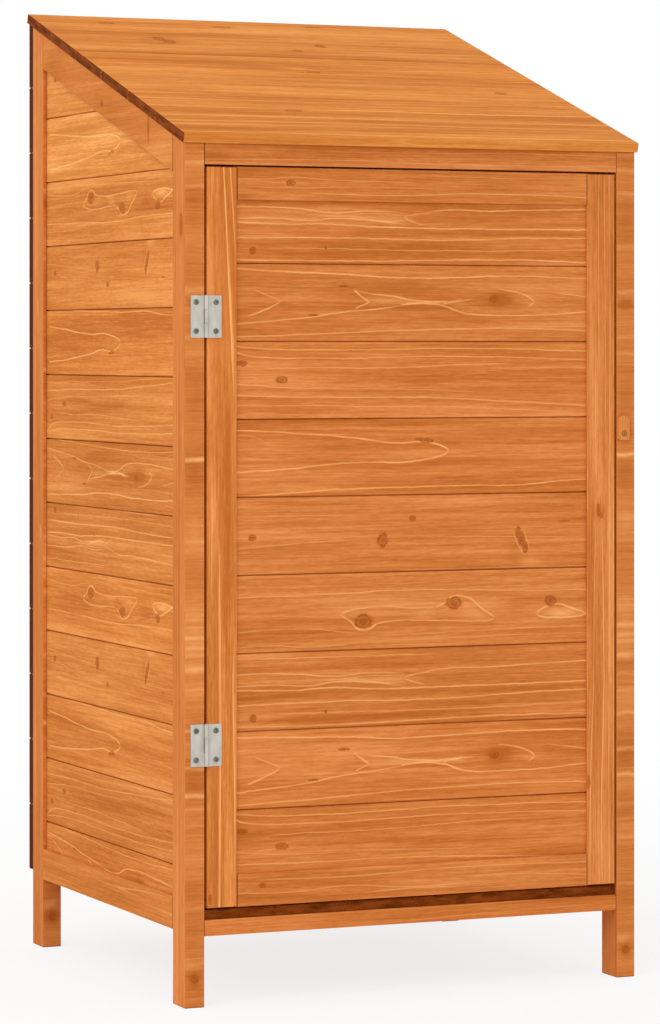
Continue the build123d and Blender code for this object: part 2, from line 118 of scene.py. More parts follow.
class Graph:
    """Adds and joins the nodes of one shader tree."""

    def __init__(self, tree):
        self.tree = tree
        self.tree.nodes.clear()

    def feed(self, socket, value):
        """A link or a constant, whichever the value is."""
        if isinstance(value, bpy.types.NodeSocket):
            self.tree.links.new(value, socket)
        else:
            socket.default_value = value

    def node(self, kind, inputs, **settings):
        made = self.tree.nodes.new(kind)
        for name, value in settings.items():
            setattr(made, name, value)
        for socket, value in inputs.items():
            self.feed(made.inputs[socket], value)
        return made

    def math(self, operation, *values):
        return self.node("ShaderNodeMath", dict(enumerate(values)), operation=operation).outputs[0]

    def vector_node(self, operation, values):
        return self.node("ShaderNodeVectorMath", dict(enumerate(values)), operation=operation)

    def vector(self, operation, *values):
        return self.vector_node(operation, values).outputs["Vector"]

    def measure(self, operation, *values):
        """The number that a vector operation gives."""
        return self.vector_node(operation, values).outputs["Value"]

    def clamped(self, vector):
        """A vector with each part kept between 0 and 1."""
        return self.vector("MINIMUM", self.vector("MAXIMUM", vector, (0, 0, 0)), (1, 1, 1))

    def split(self, vector):
        return self.node("ShaderNodeSeparateXYZ", {0: vector}).outputs

    def joined(self, x, y, z):
        return self.node("ShaderNodeCombineXYZ", {0: x, 1: y, 2: z}).outputs[0]

    def attribute(self, name):
        return self.node("ShaderNodeAttribute", {}, attribute_name=name).outputs

    def noise(self, place, noise):
        place = self.vector("MULTIPLY", place, noise.scale)
        inputs = {"Vector": place, "Scale": 1.0, "Detail": noise.detail, "Roughness": noise.roughness}
        return self.node("ShaderNodeTexNoise", inputs).outputs[0]

    def wave(self, place, noise, height):
        """Noise around nought, of about the given height."""
        return self.math("MULTIPLY", self.math("SUBTRACT", self.noise(place, noise), 0.5), height)

    def ramp(self, factor, stops):
        """Colour ramp of (position, colour or grey level) stops."""
        made = self.node("ShaderNodeValToRGB", {0: factor})
        elements = made.color_ramp.elements
        elements.remove(elements[-1])
        for index, (position, level) in enumerate(stops):
            element = elements[0] if index == 0 else elements.new(position)
            element.position = position
            element.color = level if isinstance(level, tuple) else (level, level, level, 1.0)
        return made.outputs[0]

    def curves(self, value, lines):
        """Three drawn curves read at one place, as a vector."""
        made = self.node("ShaderNodeRGBCurve", {"Color": self.joined(value, value, value)})
        for curve, points in zip(made.mapping.curves, lines):
            curve.points[0].location = points[0]
            curve.points[1].location = points[-1]
            for point in points[1:-1]:
                curve.points.new(*point)
        made.mapping.update()
        return made.outputs[0]

    def blend(self, kind, factor, first, second):
        made = self.node("ShaderNodeMix", {}, data_type="RGBA", blend_type=kind)
        for socket, value in zip(MIX_SOCKETS, (factor, first, second)):
            self.feed(made.inputs[socket], value)
        return made.outputs[MIX_RESULT]

    def mix(self, factor, first, second):
        return self.blend("MIX", factor, first, second)


def new_material(name):
    """An empty material and the graph that fills it."""
    material = bpy.data.materials.new(name)
    material.use_nodes = True
    return material, Graph(material.node_tree)


def surface(graph, colour, roughness, height, bump_strength, bump_distance, **constants):
    """Principled surface with its bump, joined to the output."""
    bump_inputs = {"Strength": bump_strength, "Distance": bump_distance, "Height": height}
    bump = graph.node("ShaderNodeBump", bump_inputs)
    inputs = {"Base Color": colour, "Roughness": roughness, "Normal": bump.outputs[0]}
    inputs.update(constants)
    shader = graph.node("ShaderNodeBsdfPrincipled", inputs)
    graph.node("ShaderNodeOutputMaterial", {0: shader.outputs[0]})


class Figure(NamedTuple):
    """Growth figure of a board, drawn along the grain and across it in thousandths of the board.

    A stroke is a growth line: its strength, how far it takes to fade at its ends, and the points that it
    runs through. A knot is its place, its size along and its size across. A patch also has how much paler it
    makes the board (wood tone, on the header painted shade), and a glow how close it comes to a growth
    line's colour.
    """

    strokes: tuple = ()
    knots: tuple = ()
    patches: tuple = ()
    glows: tuple = ()


GRID = 1000
TIP = 8  # fade of a stroke that ends in a point
FREE = 70  # fade of one that dies away
FIGURES = {}
FIGURES["A"] = Figure(
    strokes=(
        (0.6, FREE, ((0, 880), (300, 873), (550, 865))),
        (0.85, FREE, ((0, 690), (150, 683), (270, 633), (380, 660), (480, 633))),
        (0.9, FREE, ((530, 643), (600, 687), (700, 680), (850, 700), (1000, 720))),
        (0.8, FREE, ((0, 543), (120, 550), (200, 527), (280, 565), (360, 550), (480, 487))),
        (1.0, FREE, ((0, 500), (170, 480), (250, 493), (400, 460), (700, 457), (1000, 460))),
        (0.5, FREE, ((170, 610), (300, 600), (380, 625), (490, 600))),
        (0.5, FREE, ((200, 565), (330, 585), (420, 530), (500, 560))),
        (0.55, TIP, ((470, 593), (500, 617), (550, 650))),
        (0.55, TIP, ((470, 593), (490, 540), (530, 490))),
        (0.9, FREE, ((0, 307), (300, 320), (600, 307), (800, 343), (1000, 350))),
        (0.55, FREE, ((70, 187), (300, 185), (600, 173), (1000, 203))),
        (0.9, FREE, ((0, 43), (200, 33), (500, 47), (750, 67), (1000, 45))),
    ),
    knots=((47, 150, 8, 40), (250, 200, 3, 20)),
    patches=(
        (200, 600, 250, 80, 0.16), (300, 770, 500, 50, -0.2), (600, 390, 500, 40, -0.22),
        (500, 240, 500, 35, -0.18), (400, 110, 500, 35, -0.2), (800, 570, 250, 60, 0.08),
    ),
    glows=((360, 570, 90, 50, 0.3), (440, 550, 50, 60, 0.3)),
)
FIGURES["B"] = Figure(
    strokes=(
        (1.0, FREE, ((0, 883), (150, 853), (300, 833), (450, 790), (800, 820), (1000, 800))),
        (0.5, TIP, ((50, 630), (100, 537), (125, 487))),
        (0.8, TIP, ((30, 300), (80, 380), (110, 443), (125, 487))),
        (0.85, FREE, ((0, 207), (200, 287), (300, 360), (400, 400), (470, 453))),
        (0.8, TIP, ((325, 637), (340, 587), (360, 520), (375, 480))),
        (0.7, TIP, ((330, 395), (350, 437), (375, 480))),
        (0.9, FREE, ((325, 637), (380, 585), (430, 563), (500, 507), (600, 497), (650, 575))),
        (0.9, TIP, ((460, 450), (530, 468), (580, 445), (650, 347), (750, 320), (1000, 367))),
        (0.7, TIP, ((580, 460), (620, 500), (670, 522))),
        (0.7, TIP, ((740, 660), (800, 613), (830, 560), (850, 487))),
        (0.75, TIP, ((830, 430), (850, 487))),
        (0.6, FREE, ((880, 640), (940, 597), (1000, 563))),
        (0.7, FREE, ((0, 47), (200, 80), (450, 130), (800, 160), (1000, 130))),
        (0.3, FREE, ((30, 705), (150, 680), (300, 680))),
    ),
    knots=((730, 530, 12, 40), (300, 680, 12, 14), (215, 318, 12, 13)),
    patches=(
        (200, 500, 150, 200, 0.1), (840, 500, 30, 100, 0.15), (500, 920, 500, 50, -0.12),
        (500, 250, 300, 80, -0.1), (745, 520, 35, 100, -0.4),
    ),
    glows=(
        (400, 500, 30, 50, 0.4), (450, 500, 40, 40, 0.4), (540, 482, 60, 24, 0.7),
        (625, 480, 20, 40, 0.35),
    ),
)
FIGURES["C"] = Figure(
    strokes=(
        (0.75, FREE, ((0, 895), (100, 857), (400, 850), (600, 863), (1000, 833))),
        (0.7, FREE, ((0, 830), (40, 773), (200, 743), (600, 763), (1000, 717))),
        (0.6, FREE, ((50, 600), (150, 625), (400, 620), (650, 660), (800, 675))),
        (0.5, FREE, ((0, 430), (150, 375), (400, 363), (700, 315))),
        (0.75, FREE, ((0, 287), (200, 260), (500, 255), (700, 215), (1000, 137))),
        (0.5, FREE, ((0, 163), (300, 150), (600, 130), (950, 60))),
        (0.35, FREE, ((595, 497), (630, 525), (720, 555))),
        (0.3, FREE, ((595, 497), (630, 470), (700, 450))),
        (0.35, FREE, ((820, 620), (1000, 620))),
    ),
    knots=((127, 477, 14, 35), (17, 680, 12, 30)),
    patches=((130, 500, 70, 100, 0.1), (500, 500, 300, 60, -0.12), (750, 420, 200, 150, 0.05)),
)
FIGURES["D"] = Figure(
    strokes=(
        (0.95, TIP, ((0, 817), (150, 780), (350, 700), (450, 640), (530, 653), (585, 590), (600, 540))),
        (0.95, TIP, ((0, 293), (120, 333), (350, 410), (480, 408), (550, 447), (585, 490), (600, 540))),
        (0.45, FREE, ((0, 750), (40, 740), (75, 680), (92, 617))),
        (0.85, FREE, ((20, 3), (170, 47), (300, 72), (650, 103), (820, 100), (930, 150), (1000, 157))),
        (0.25, FREE, ((720, 320), (870, 315))),
    ),
    knots=((535, 668, 16, 24), (515, 690, 12, 16)),
    patches=(
        (250, 550, 300, 140, -0.04), (200, 330, 300, 120, -0.2), (800, 500, 200, 400, -0.08),
        (300, 900, 300, 60, -0.08),
    ),
)
FIGURES["E"] = Figure(
    strokes=(
        (0.45, FREE, ((0, 320), (200, 380), (300, 403), (390, 407))),
        (0.4, FREE, ((440, 443), (550, 427), (750, 407), (950, 385))),
        (0.35, FREE, ((30, 700), (150, 713), (350, 700))),
        (0.5, TIP, ((90, 515), (140, 530), (152, 555))),
        (0.35, TIP, ((784, 500), (790, 400), (803, 270), (820, 150))),
        (0.35, TIP, ((810, 530), (825, 360), (838, 160))),
        (0.4, FREE, ((450, 12), (700, 16), (1000, 12))),
    ),
    knots=(
        (45, 453, 9, 35), (410, 387, 12, 75), (495, 655, 8, 35), (800, 460, 6, 60), (810, 370, 7, 70),
        (821, 270, 6, 60), (935, 587, 14, 8),
    ),
    patches=(
        (840, 90, 30, 50, 0.3), (500, 850, 500, 100, 0.06), (790, 300, 20, 150, -0.15),
        (800, 840, 400, 90, 0.2),
    ),
)
FIGURES["F"] = Figure(
    strokes=(
        (0.7, FREE, ((0, 680), (300, 697), (500, 720), (800, 677), (1000, 667))),
        (0.8, TIP, ((290, 427), (305, 470), (350, 510), (430, 517), (500, 490), (560, 493))),
        (0.85, TIP, ((560, 493), (590, 550), (615, 630), (635, 625), (690, 480), (732, 347))),
        (0.8, TIP, ((290, 427), (320, 350), (355, 240), (375, 255), (395, 310), (500, 345))),
        (0.8, TIP, ((490, 343), (600, 325), (690, 308), (722, 318), (732, 347))),
        (0.9, TIP, ((853, 363), (885, 465), (910, 490), (950, 440), (1000, 365))),
        (0.95, TIP, ((853, 363), (880, 330), (920, 317), (960, 320), (1000, 347))),
        (0.5, FREE, ((0, 247), (200, 273), (300, 220), (360, 200))),
        (0.5, FREE, ((0, 63), (100, 80), (200, 47), (350, 85))),
        (0.45, FREE, ((380, 160), (600, 180), (800, 197), (1000, 203))),
        (0.4, FREE, ((380, 97), (600, 107), (800, 120), (1000, 113))),
        (0.3, FREE, ((0, 800), (300, 793), (550, 807))),
    ),
    knots=((355, 345, 21, 72), (614, 540, 19, 65), (895, 540, 14, 55)),
    patches=(
        (400, 420, 80, 70, 0.12), (660, 420, 50, 80, 0.12), (800, 480, 50, 120, -0.15),
        (150, 450, 100, 100, -0.1), (600, 970, 600, 130, 0.24), (500, 50, 500, 100, 0.24),
        (500, 720, 600, 80, 0.1),
    ),
    glows=(
        (925, 375, 50, 50, 0.85), (520, 370, 30, 25, 0.5), (530, 440, 30, 25, 0.45),
        (680, 370, 30, 50, 0.25), (355, 260, 20, 30, 0.4), (615, 600, 20, 30, 0.4),
    ),
)
FIGURES["left_stile"] = Figure(
    strokes=(
        (1.0, FREE, ((670, 970), (720, 870), (800, 780), (870, 700), (940, 620), (1000, 550))),
        (0.7, FREE, ((860, 970), (930, 880), (1000, 770))),
        (0.6, FREE, ((690, 990), (750, 880), (820, 800), (900, 720))),
        (1.0, FREE, ((0, 420), (200, 450), (350, 440), (450, 410), (510, 380))),
        (0.6, FREE, ((0, 380), (200, 410), (350, 400), (450, 370))),
        (0.6, FREE, ((800, 420), (840, 400), (880, 330))),
        (0.8, FREE, ((50, 950), (200, 910), (300, 870), (340, 900), (380, 960))),
        (0.45, FREE, ((400, 170), (500, 150), (600, 200))),
    ),
    knots=((12, 100, 6, 50),),
    patches=(
        (530, 200, 50, 120, 0.25), (200, 150, 200, 150, -0.08), (850, 250, 200, 200, -0.05),
        (620, 600, 100, 300, -0.08),
    ),
)
FIGURES["right_stile"] = Figure(
    strokes=(
        (0.7, FREE, ((0, 550), (100, 520), (300, 600), (400, 580), (520, 540))),
        (0.6, FREE, ((0, 100), (150, 120), (300, 230), (500, 250))),
        (0.55, FREE, ((0, 800), (200, 780), (500, 800), (800, 820), (1000, 800))),
        (0.45, FREE, ((680, 450), (800, 420), (1000, 420))),
        (0.4, FREE, ((600, 650), (800, 650), (1000, 620))),
        (0.5, FREE, ((420, 700), (480, 660), (530, 560))),
    ),
    knots=((527, 400, 7, 50), (520, 520, 4, 40), (145, 40, 8, 60)),
    patches=((700, 300, 150, 200, 0.12), (50, 500, 50, 500, 0.1), (525, 450, 12, 200, -0.3)),
)
FIGURES["post_side"] = Figure(
    strokes=(
        (0.4, FREE, ((0, 620), (500, 600), (1000, 660))),
        (0.3, FREE, ((100, 350), (450, 380), (800, 300))),
        (0.3, FREE, ((300, 820), (700, 800), (1000, 840))),
    ),
    knots=((893, 300, 11, 110),),
    patches=((893, 350, 30, 300, -0.1), (600, 500, 300, 500, -0.08), (200, 500, 200, 500, 0.05)),
)
FIGURES["door_top_rail"] = Figure(
    strokes=(
        (0.6, FREE, ((180, 250), (400, 200), (700, 300), (1000, 240))),
        (0.4, FREE, ((0, 620), (100, 660), (150, 720), (250, 660), (500, 620))),
        (0.4, FREE, ((20, 420), (150, 380), (300, 440), (600, 420))),
        (0.35, FREE, ((500, 850), (800, 800), (1000, 840))),
    ),
    knots=((149, 540, 11, 80),),
    patches=(
        (30, 900, 80, 120, -0.2), (150, 540, 40, 200, 0.08), (600, 650, 200, 100, -0.12),
        (0, 80, 60, 100, -0.15),
    ),
)
FIGURES["door_bottom_rail"] = Figure(
    strokes=(
        (0.6, FREE, ((50, 800), (300, 740), (600, 820), (1000, 750))),
        (0.55, FREE, ((0, 420), (150, 360), (300, 450), (500, 300), (700, 380))),
        (0.7, FREE, ((350, 200), (500, 260), (650, 200))),
        (0.5, FREE, ((600, 550), (800, 500), (1000, 350))),
        (0.4, FREE, ((650, 150), (800, 140), (1000, 100))),
    ),
    knots=((70, 610, 8, 60),),
    patches=((550, 250, 100, 120, 0.2), (200, 600, 200, 150, -0.1)),
)
FIGURES["front_header"] = Figure(
    strokes=(
        (0.35, FREE, ((0, 300), (300, 350), (600, 300), (1000, 330))),
        (0.3, FREE, ((100, 620), (400, 570), (800, 620), (1000, 580))),
        (0.3, FREE, ((300, 120), (600, 160), (900, 120))),
    ),
    # The first two patches are painted shade under the roof's overhang: darkest along the top, paler at the
    # bottom
    patches=(
        (500, 1050, 3000, 300, -0.6), (500, 100, 3000, 300, 0.2), (45, 400, 30, 120, -0.35),
        (600, 600, 300, 120, -0.12),
    ),
)
FIGURES["sloping_rail"] = Figure(
    strokes=((0.3, FREE, ((300, 620), (600, 600), (900, 610))),),
    knots=((185, 270, 5, 70), (524, 472, 8, 22), (620, 414, 14, 25)),
    patches=((900, 750, 100, 100, -0.2), (450, 450, 150, 100, -0.1), (100, 100, 100, 100, 0.15)),
)
FIGURES["roof_1"] = Figure(
    strokes=(
        (0.8, FREE, ((0, 820), (300, 840), (700, 800), (1000, 820))),
        (0.7, FREE, ((0, 570), (400, 600), (700, 560), (1000, 580))),
        (0.6, FREE, ((0, 420), (500, 460), (1000, 430))),
        (0.8, FREE, ((0, 100), (500, 80), (1000, 110))),
    ),
    patches=((400, 700, 500, 40, -0.2), (500, 270, 500, 60, -0.2), (200, 930, 400, 30, -0.2)),
)
FIGURES["roof_2"] = Figure(
    strokes=(
        (1.0, FREE, ((340, 220), (500, 260), (750, 220), (1000, 270))),
        (0.6, FREE, ((0, 280), (150, 250), (280, 280))),
        (0.5, FREE, ((0, 660), (400, 620), (800, 660))),
    ),
    knots=((310, 190, 18, 45),),
    patches=((400, 800, 400, 40, -0.2), (600, 450, 300, 80, -0.1), (500, 50, 500, 30, -0.15)),
)
FIGURES["roof_3"] = Figure(
    strokes=(
        (0.5, FREE, ((0, 800), (300, 780), (600, 800))),
        (0.45, FREE, ((400, 100), (700, 60), (1000, 100))),
    ),
    knots=((865, 360, 12, 50),),
    patches=((500, 420, 400, 50, -0.15), (300, 600, 300, 100, 0.1)),
)
FIGURES["roof_4"] = Figure(
    strokes=(
        (0.6, FREE, ((500, 420), (650, 400), (800, 440), (1000, 400))),
        (0.4, FREE, ((300, 750), (600, 780), (900, 750))),
    ),
    knots=((490, 220, 14, 45),),
    patches=((460, 390, 35, 70, 0.3), (200, 500, 300, 250, -0.12), (700, 40, 400, 40, -0.2)),
)
FIGURES["roof_5"] = Figure(
    strokes=(
        (0.6, FREE, ((600, 220), (800, 260), (1000, 220))),
        (0.4, FREE, ((0, 180), (300, 200), (550, 170))),
    ),
    knots=((235, 800, 12, 90), (250, 650, 12, 100), (605, 680, 11, 80), (530, 380, 12, 50)),
    patches=((240, 720, 40, 200, -0.12), (850, 600, 120, 250, -0.12), (500, 20, 500, 40, -0.2)),
)
FIGURES["roof_6"] = Figure(
    strokes=(
        (0.7, FREE, ((50, 830), (200, 800), (400, 840))),
        (0.4, FREE, ((300, 300), (600, 340), (1000, 300))),
    ),
    knots=((160, 640, 18, 50), (430, 620, 22, 50), (660, 800, 20, 40)),
    patches=((100, 130, 400, 40, -0.2), (600, 500, 300, 200, 0.08)),
)
FIGURES["post_front"] = Figure(
    knots=((33, 500, 4, 160),),
    patches=(
        (607, 500, 20, 600, -0.2), (690, 600, 30, 600, -0.14), (430, 500, 40, 700, 0.18),
        (260, 500, 30, 700, -0.14), (100, 500, 40, 700, -0.14), (34, 500, 10, 400, -0.4),
        (910, 500, 30, 600, -0.14), (545, 500, 20, 600, 0.15), (805, 500, 6, 450, -0.5),
    ),
    glows=((46, 350, 4, 400, 0.5), (385, 500, 4, 500, 0.5)),
)

# Pale growth lines across the front of a post: (height in thousandths of the post, strength)
POST_BANDS = (
    (52, 0.5), (112, 0.6), (169, 0.6), (205, 0.9), (225, 0.5), (242, 1.0), (272, 0.9), (299, 0.6),
    (317, 0.9), (345, 0.5), (362, 0.5), (385, 1.0), (403, 0.6), (410, 0.6), (422, 0.8), (446, 0.45),
    (522, 0.6), (532, 0.5), (552, 0.5), (625, 1.0), (685, 0.4), (745, 0.55), (764, 0.5), (819, 0.7),
    (869, 0.6), (876, 0.5), (937, 0.65), (965, 0.5),
)

# Growth lines, bands and knots
LINES_AT_ONCE = 3  # as many as a curve node draws
LINE_HALF_WIDTH = 1.0 * MM
FAINTEST_BREADTH = 0.6  # of a line, in line widths
ADDED_BREADTH = 0.7  # of a line at full strength
CURVE_STEP = 0.0022  # of a board; steep stretches would break up without it
SHADE_WIDTH = 8 * MM
SHADE_SHARE = 0.4
LINE_BENDS = ((Noise((9.0, 1.6, 3.0)), 0.03), (Noise((55.0, 7.0, 4.0)), 0.016))  # with their heights
LINE_FADING = Noise((9.0, 9.0, 6.0), 3.0, 0.6)
FADING_STOPS = ((0.3, 0.5), (0.6, 1.0))
BANDS_IN_A_RAMP = 10  # a ramp takes 32 stops, three to a band
BAND_HALF_WIDTH = 1.7 * MM
BAND_TAIL = 1.6  # how far a band fades upwards, in half widths
BAND_BEND = Noise((60.0, 12.0, 3.0))
BAND_BEND_HEIGHT = 5 * MM
BAND_FADING = Noise((40.0, 30.0, 6.0), 2.0, 0.6)
KNOT_WANDER = (Noise((90.0, 18.0, 5.0)), Noise((80.0, 22.0, 8.0)))
RAGGED = 0.9  # how far the outline of a knot wanders, in its own sizes
KNOT_MOTTLE = Noise((130.0, 300.0, 2.0))
MOTTLE_STOPS = ((0.35, 0.45), (0.6, 1.0))
RIM_STOPS = ((0.08, 0.0), (0.3, 0.7), (0.6, 0.5), (1.0, 0.8))
HEART_STOPS = ((0.2, 0.0), (0.36, 0.8), (0.52, 0.2), (0.66, 0.25), (0.8, 0.7), (1.0, 0.4))

# Tone of the wood between its growth lines: noises, each with its share
STREAKS = (
    (Noise((2.2, 24.0, 3.0)), 0.75),  # broad bands
    (Noise((4.5, 150.0, 5.0), 3.0, 0.6), 0.65),  # long streaks
    (Noise((70.0, 420.0, 8.0), 3.0, 0.7), 0.45),  # flecks
    (Noise((16.0, 700.0, 9.0), 2.0, 0.6), 0.5),  # fibres
)
TONE_STOPS = ((0.2, STAIN_DEEP), (0.5, STAIN_MIDDLE), (0.8, STAIN_PALE))
STRAIGHT_CONTRAST = 1.0
BOARD_CONTRAST = 1.2
BAND_CONTRAST = 0.75
POST_SIDE_CONTRAST = 0.9
SLOPING_RAIL_CONTRAST = 0.8
ROOF_CONTRAST = 1.15

# Straight grain, whose growth lines wander and fade
RING_SPACING = 9 * MM
RINGS_IN_THE_NOISE = 7.0
STRAIGHT_RINGS = Noise((1.2, 0.35 / RING_SPACING, 11.0), 1.0, 0.4)
STRAIGHT_STOPS = ((0.0, 0.0), (0.46, 0.0), (0.5, 1.0), (0.57, 0.0))
STRAIGHT_FADING = Noise((4.0, 60.0, 13.0), 2.0, 0.6)
STRAIGHT_FADING_STOPS = ((0.38, 0.0), (0.68, 0.7))

# Sawn ends
PLAIN_END = 0.0
SAWN_END = 1.0
# ends darkened with painted shade, on the back wall boards
SHADED_END = 2.0
END_SPECKLE = Noise((520.0, 520.0, 1.0), 4.0, 0.7)
SPECKLE_SHARE = 0.5
END_RINGS = Noise((45.0, 190.0, 1.0))
RING_SHARE = 0.9
SAWN_LEVEL = -0.2
# how much darker the painted shade makes those ends
SHADED_END_LEVEL = -0.6
END_STOPS = ((0.25, END_DARK), (0.7, END_PALE))

# Surface of the wood: the heights of its bump, its depth and its gloss
RAISED_FIBRES = Noise((40.0, 1400.0, 7.0), 2.0, 0.6)
FIBRE_RELIEF = 0.5
LINE_RELIEF = 0.4
END_RELIEF = 3.0
WOOD_BUMP = 0.25
WOOD_BUMP_DEPTH = 0.25 * MM
WOOD_ROUGHNESS = ((0.0, 0.78), (1.0, 0.6))
WOOD_SPECULAR = 0.04


def minus(values):
    """The same values, negative."""
    return tuple(-value for value in values)


def fade_offsets(stroke):
    """Where a stroke fades in and out, in lengths of its fade; far off where it runs to the board's end."""
    _, fade, points = stroke
    first = points[0][0]
    last = points[-1][0]
    start = -first / fade if first > 0 else 1.0
    stop = last / fade if last < GRID else 2 * GRID / fade
    return start, stop


def line_marks(graph, u, v, strokes, width):
    """Brightness of drawn growth lines, and the darker wood on the lower side of each."""
    along = graph.joined(u, u, u)
    across = graph.joined(v, v, v)
    shade_slope = (-width / SHADE_WIDTH,) * LINES_AT_ONCE
    bright = 0.0
    shade = 0.0
    for first in range(0, len(strokes), LINES_AT_ONCE):
        group = list(strokes[first:first + LINES_AT_ONCE])
        while len(group) < LINES_AT_ONCE:
            group.append((0.0, FREE, group[0][2]))
        strengths, fades, drawn = zip(*group)
        lines = [[(x / GRID, y / GRID) for x, y in points] for points in drawn]
        starts, stops = zip(*(fade_offsets(stroke) for stroke in group))
        steepness = tuple(GRID / fade for fade in fades)
        breadths = (FAINTEST_BREADTH + ADDED_BREADTH * strength for strength in strengths)
        sharpness = tuple(width / (LINE_HALF_WIDTH * breadth) for breadth in breadths)
        before = graph.curves(graph.math("SUBTRACT", u, CURVE_STEP), lines)
        after = graph.curves(graph.math("ADD", u, CURVE_STEP), lines)
        middle = graph.vector("MULTIPLY", graph.vector("ADD", before, after), (0.5, 0.5, 0.5))
        rise = graph.vector("ABSOLUTE", graph.vector("SUBTRACT", after, middle))
        off = graph.vector("SUBTRACT", across, middle)
        far = graph.vector("ABSOLUTE", off)
        gap = graph.vector("MAXIMUM", graph.vector("SUBTRACT", far, rise), (0, 0, 0))
        level = graph.clamped(graph.vector("MULTIPLY_ADD", gap, minus(sharpness), (1, 1, 1)))
        begun = graph.clamped(graph.vector("MULTIPLY_ADD", along, steepness, starts))
        ended = graph.clamped(graph.vector("MULTIPLY_ADD", along, minus(steepness), stops))
        shown = graph.vector("MULTIPLY", begun, ended)
        below = graph.clamped(graph.vector("MULTIPLY", off, minus(sharpness)))
        soft = graph.clamped(graph.vector("MULTIPLY_ADD", far, shade_slope, (1, 1, 1)))
        level = graph.vector("MULTIPLY", level, shown)
        soft = graph.vector("MULTIPLY", graph.vector("MULTIPLY", soft, below), shown)
        bright = graph.math("ADD", graph.measure("DOT_PRODUCT", level, strengths), bright)
        shade = graph.math("ADD", graph.measure("DOT_PRODUCT", soft, strengths), shade)
    return bright, shade


def near(graph, u, v, spot, wander=(0.0, 0.0)):
    """1 in the middle of a spot, falling off over its size, with an outline that may wander."""
    middle_u, middle_v, length, breadth = (part / GRID for part in spot)
    along = graph.math("DIVIDE", graph.math("SUBTRACT", u, middle_u), length)
    across = graph.math("DIVIDE", graph.math("SUBTRACT", v, middle_v), breadth)
    along = graph.math("ADD", along, wander[0])
    across = graph.math("ADD", across, wander[1])
    squares = graph.math("ADD", graph.math("MULTIPLY", along, along), graph.math("MULTIPLY", across, across))
    return graph.math("POWER", math.e, graph.math("MULTIPLY", squares, -1.0))


def wandering(graph, place):
    """Two slow noises that make the outline of a spot uneven."""
    return [graph.wave(place, noise, RAGGED) for noise in KNOT_WANDER]


def patched(graph, tone, u, v, figure):
    """Tone with the figure's paler and darker patches."""
    for *spot, paler in figure.patches:
        tone = graph.math("MULTIPLY_ADD", near(graph, u, v, spot), paler, tone)
    return tone


def glowing(graph, bright, u, v, figure, wander):
    """Brightness with the figure's glows."""
    for *spot, strength in figure.glows:
        bright = graph.math("MULTIPLY_ADD", near(graph, u, v, spot, wander), strength, bright)
    return bright


def knot_marks(graph, u, v, figure, wander):
    """1 in the heart of each knot of a figure, or nothing if it has none."""
    knots = None
    for knot in figure.knots:
        heart = near(graph, u, v, knot, wander)
        knots = heart if knots is None else graph.math("MAXIMUM", knots, heart)
    return knots


def knotted(graph, colour, knots, grain):
    """Colour with its knots, which have a dark rim round a mottled heart."""
    mottle = graph.ramp(graph.noise(grain, KNOT_MOTTLE), MOTTLE_STOPS)
    heart = graph.math("MULTIPLY", graph.ramp(knots, HEART_STOPS), mottle)
    colour = graph.mix(graph.ramp(knots, RIM_STOPS), colour, KNOT_RIM)
    return graph.mix(heart, colour, KNOT_HEART)


def end_colour(graph, end, speckle, grain):
    """Dark colour of a sawn end, and a darker one where painted shade is put on it."""
    level = graph.math("MULTIPLY_ADD", speckle, SPECKLE_SHARE, SAWN_LEVEL)
    level = graph.math("MULTIPLY_ADD", graph.noise(grain, END_RINGS), RING_SHARE, level)
    end_shade = graph.math("MAXIMUM", graph.math("SUBTRACT", end, SAWN_END), 0.0)
    level = graph.math("MULTIPLY_ADD", end_shade, SHADED_END_LEVEL, level)
    return graph.ramp(level, END_STOPS)


def stained(graph, tone, bright, shade, knots, grain):
    """Finished surface of stained wood, from its tone, growth lines, knots and end grain."""
    tint = graph.attribute("tint")
    end = graph.split(graph.attribute("figure")["Vector"])[2]
    colour = graph.ramp(tone, TONE_STOPS)
    if shade is not None:
        colour = graph.mix(graph.math("MULTIPLY", shade, SHADE_SHARE), colour, STAIN_DEEP)
    colour = graph.mix(graph.math("MULTIPLY", bright, tint["Alpha"]), colour, STAIN_LINE)
    if knots is not None:
        colour = knotted(graph, colour, graph.math("MULTIPLY", knots, tint["Alpha"]), grain)
    # The tint is each board's stain; on the header it is painted shade, and on the roof partly painted light
    colour = graph.blend("MULTIPLY", 1.0, colour, tint["Color"])
    speckle = graph.noise(grain, END_SPECKLE)
    colour = graph.mix(end, colour, end_colour(graph, end, speckle, grain))
    fibres = graph.noise(grain, RAISED_FIBRES)
    height = graph.math("MULTIPLY_ADD", bright, LINE_RELIEF, graph.math("MULTIPLY", fibres, FIBRE_RELIEF))
    height = graph.math("MULTIPLY_ADD", graph.math("MULTIPLY", end, speckle), END_RELIEF, height)
    roughness = graph.ramp(fibres, WOOD_ROUGHNESS)
    gloss = {"Specular IOR Level": WOOD_SPECULAR}
    surface(graph, colour, roughness, height, WOOD_BUMP, WOOD_BUMP_DEPTH, **gloss)


def streaks(graph, grain, contrast):
    """Tone of the wood between its growth lines: long soft streaks and fine fibres, around a half."""
    tone = 0.5 - contrast * sum(share for _, share in STREAKS) / 2
    for noise, share in STREAKS:
        tone = graph.math("MULTIPLY_ADD", graph.noise(grain, noise), share * contrast, tone)
    return tone


